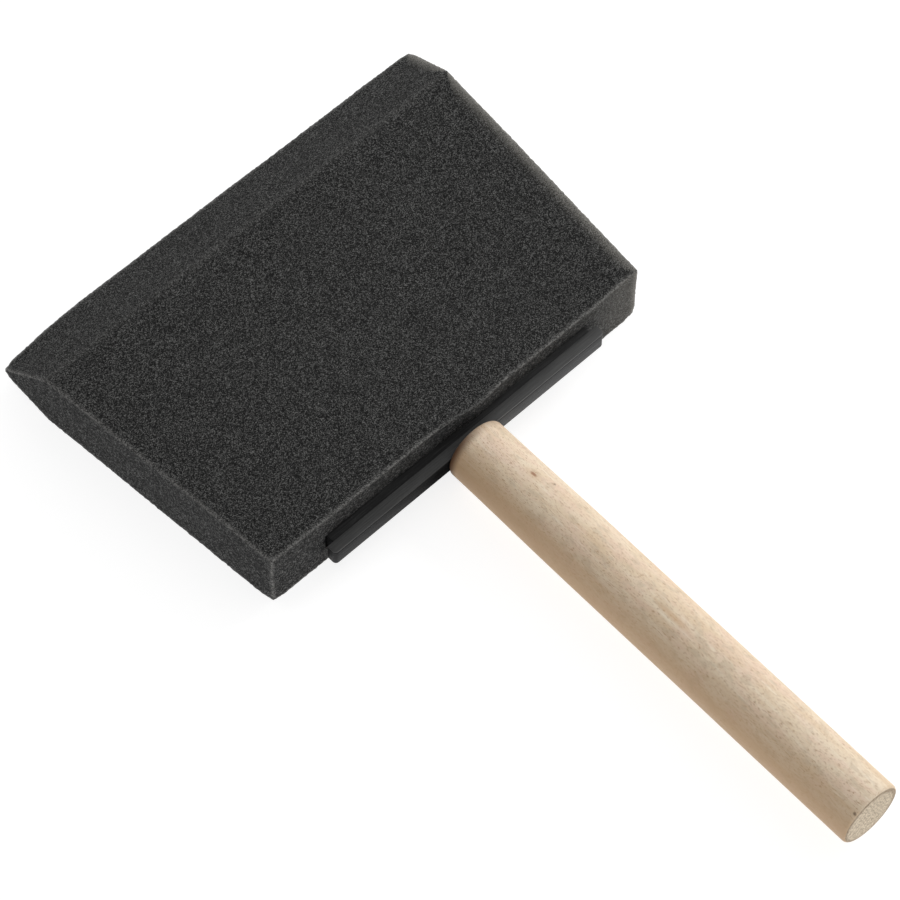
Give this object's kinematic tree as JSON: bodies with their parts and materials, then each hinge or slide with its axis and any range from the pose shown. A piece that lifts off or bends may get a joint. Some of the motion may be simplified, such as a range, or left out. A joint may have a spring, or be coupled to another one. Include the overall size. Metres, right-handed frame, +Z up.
{
  "type": "foam sponge brush",
  "caption": "Disposable foam brush: bevelled foam head glued over a moulded plastic paddle, on a round wooden dowel handle.",
  "frame": {"origin": "centre of the object's bounding box, on the plane that the foam's lower broad face lies in", "axes": "+Y along the handle towards the foam's tip, +X across the width of the foam, +Z up through its thickness"},
  "size_m": [0.1016, 0.173, 0.015],
  "materials": {
    "foam": "matte",
    "black_plastic": "satin",
    "hot_melt": "satin",
    "pale_wood": "matte"
  },
  "bodies": {
    "root": {"foam_head": "foam", "paddle": "black_plastic", "blade_glue": "hot_melt", "handle": "pale_wood", "socket_glue": "hot_melt"}
  },
  "joints": []
}
